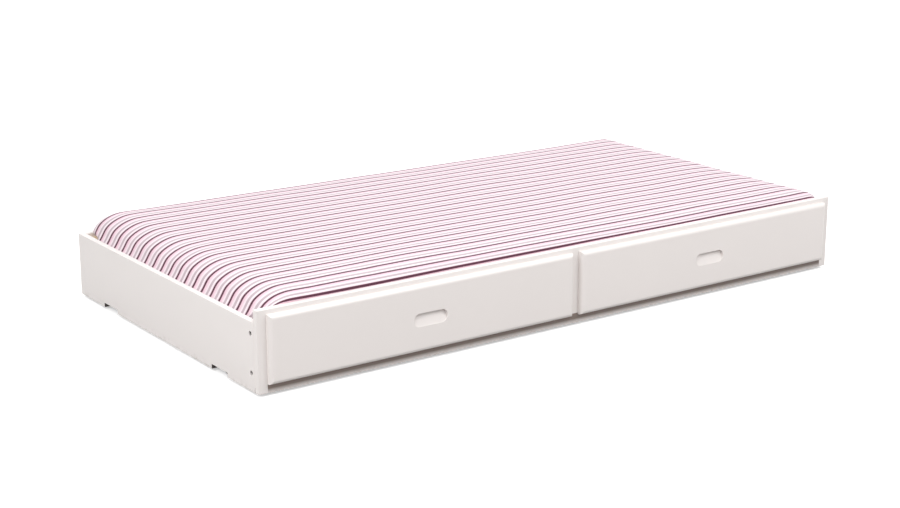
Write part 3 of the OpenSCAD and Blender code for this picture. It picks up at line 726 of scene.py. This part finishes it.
# ---- Studio ----
# A pale floor that runs out of sight, a broad soft light from above the front right, and a
# fill from the left, at a level at which colours look as they are written.
bpy.ops.object.select_all(action="DESELECT")
bpy.ops.mesh.primitive_plane_add(size=80, location=(0, 0, 0))
floor = bpy.context.object
floor.name = "studio_floor"
floor_paint = bpy.data.materials.new("pale_floor")
floor_paint.use_nodes = True
tree = floor_paint.node_tree
tree.nodes.clear()
seen = place(tree, "ShaderNodeLightPath", (-700, 200))
matt_white = place(tree, "ShaderNodeBsdfDiffuse", (-300, 0))
matt_white.inputs["Color"].default_value = (0.86, 0.86, 0.86, 1)
matt_grey = place(tree, "ShaderNodeBsdfDiffuse", (-300, 150))
matt_grey.inputs["Color"].default_value = (0.30, 0.29, 0.285, 1)
lift = place(tree, "ShaderNodeEmission", (-300, -200), Strength=0.45)
seen_any = place(tree, "ShaderNodeMath", (-500, 200), operation="ADD", use_clamp=True)
seen_glass = place(tree, "ShaderNodeMath", (-400, 300), operation="ADD", use_clamp=True)
lit = place(tree, "ShaderNodeAddShader", (-100, -50))
chosen = place(tree, "ShaderNodeMixShader", (100, 50))
out = place(tree, "ShaderNodeOutputMaterial", (300, 0))
tree.links.new(seen.outputs["Is Camera Ray"], seen_any.inputs[0])
tree.links.new(seen.outputs["Is Glossy Ray"], seen_any.inputs[1])
tree.links.new(seen_any.outputs["Value"], seen_glass.inputs[0])
tree.links.new(seen.outputs["Is Transmission Ray"], seen_glass.inputs[1])
tree.links.new(matt_white.outputs["BSDF"], lit.inputs[0])
tree.links.new(lift.outputs["Emission"], lit.inputs[1])
tree.links.new(seen_glass.outputs["Value"], chosen.inputs["Fac"])
tree.links.new(matt_grey.outputs["BSDF"], chosen.inputs[1])
tree.links.new(lit.outputs["Shader"], chosen.inputs[2])
tree.links.new(chosen.outputs["Shader"], out.inputs["Surface"])
floor.data.materials.append(floor_paint)

world = bpy.data.worlds.new("studio")
bpy.context.scene.world = world
world.use_nodes = True
tree = world.node_tree
tree.nodes.clear()
seen = place(tree, "ShaderNodeLightPath", (-700, 200))
seen_any = place(tree, "ShaderNodeMath", (-500, 200), operation="ADD", use_clamp=True)
seen_glass = place(tree, "ShaderNodeMath", (-350, 250), operation="ADD", use_clamp=True)
room = place(tree, "ShaderNodeBackground", (-200, 0))
sky = place(tree, "ShaderNodeTexCoord", (-900, -100))
height = place(tree, "ShaderNodeSeparateXYZ", (-700, -100))
brighter_above = place(tree, "ShaderNodeMapRange", (-450, -50))
brighter_above.inputs["To Min"].default_value = 0.45
brighter_above.inputs["To Max"].default_value = 0.95
tree.links.new(sky.outputs["Generated"], height.inputs["Vector"])
tree.links.new(height.outputs["Z"], brighter_above.inputs["Value"])
tree.links.new(brighter_above.outputs["Result"], room.inputs["Strength"])
room.inputs["Color"].default_value = (1.0, 1.0, 1.0, 1)
white = place(tree, "ShaderNodeBackground", (-200, -150), Strength=1.0)
white.inputs["Color"].default_value = (1.0, 1.0, 1.0, 1)
chosen = place(tree, "ShaderNodeMixShader", (50, 50))
out = place(tree, "ShaderNodeOutputWorld", (250, 0))
tree.links.new(seen.outputs["Is Camera Ray"], seen_any.inputs[0])
tree.links.new(seen.outputs["Is Glossy Ray"], seen_any.inputs[1])
tree.links.new(seen_any.outputs["Value"], seen_glass.inputs[0])
tree.links.new(seen.outputs["Is Transmission Ray"], seen_glass.inputs[1])
tree.links.new(seen_glass.outputs["Value"], chosen.inputs["Fac"])
tree.links.new(room.outputs["Background"], chosen.inputs[1])
tree.links.new(white.outputs["Background"], chosen.inputs[2])
tree.links.new(chosen.outputs["Shader"], out.inputs["Surface"])


def soft_light(name, at, target, size, power):
    """Square soft box that looks at the target."""
    lamp = bpy.data.lights.new(name, "AREA")
    lamp.shape, lamp.size, lamp.energy = "SQUARE", size, power
    holder = bpy.data.objects.new(name, lamp)
    holder.location = at
    holder.rotation_euler = (Vector(target) - Vector(at)).to_track_quat("-Z", "Y").to_euler()
    bpy.context.scene.collection.objects.link(holder)


soft_light("key_light", (1.4, -3.2, 3.6), (0, 0, 0.1), 2.6, 105)
soft_light("end_light", (-3.8, -1.6, 2.9), (-0.6, -0.2, 0.1), 2.4, 100)
soft_light("back_light", (2.6, 3.4, 2.4), (0.2, 0.2, 0.1), 2.4, 60)

camera = bpy.data.objects.new("camera", bpy.data.cameras.new("camera"))
camera.data.lens = 70.94
camera.data.sensor_width = 36
camera.location = (-2.966, -4.104, 1.519)
camera.rotation_euler = (math.radians(74.214), 0, math.radians(-35.357))
bpy.context.scene.collection.objects.link(camera)
bpy.context.scene.camera = camera

view = bpy.context.scene.view_settings
view.view_transform = "Standard"

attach(piping, "mattress")
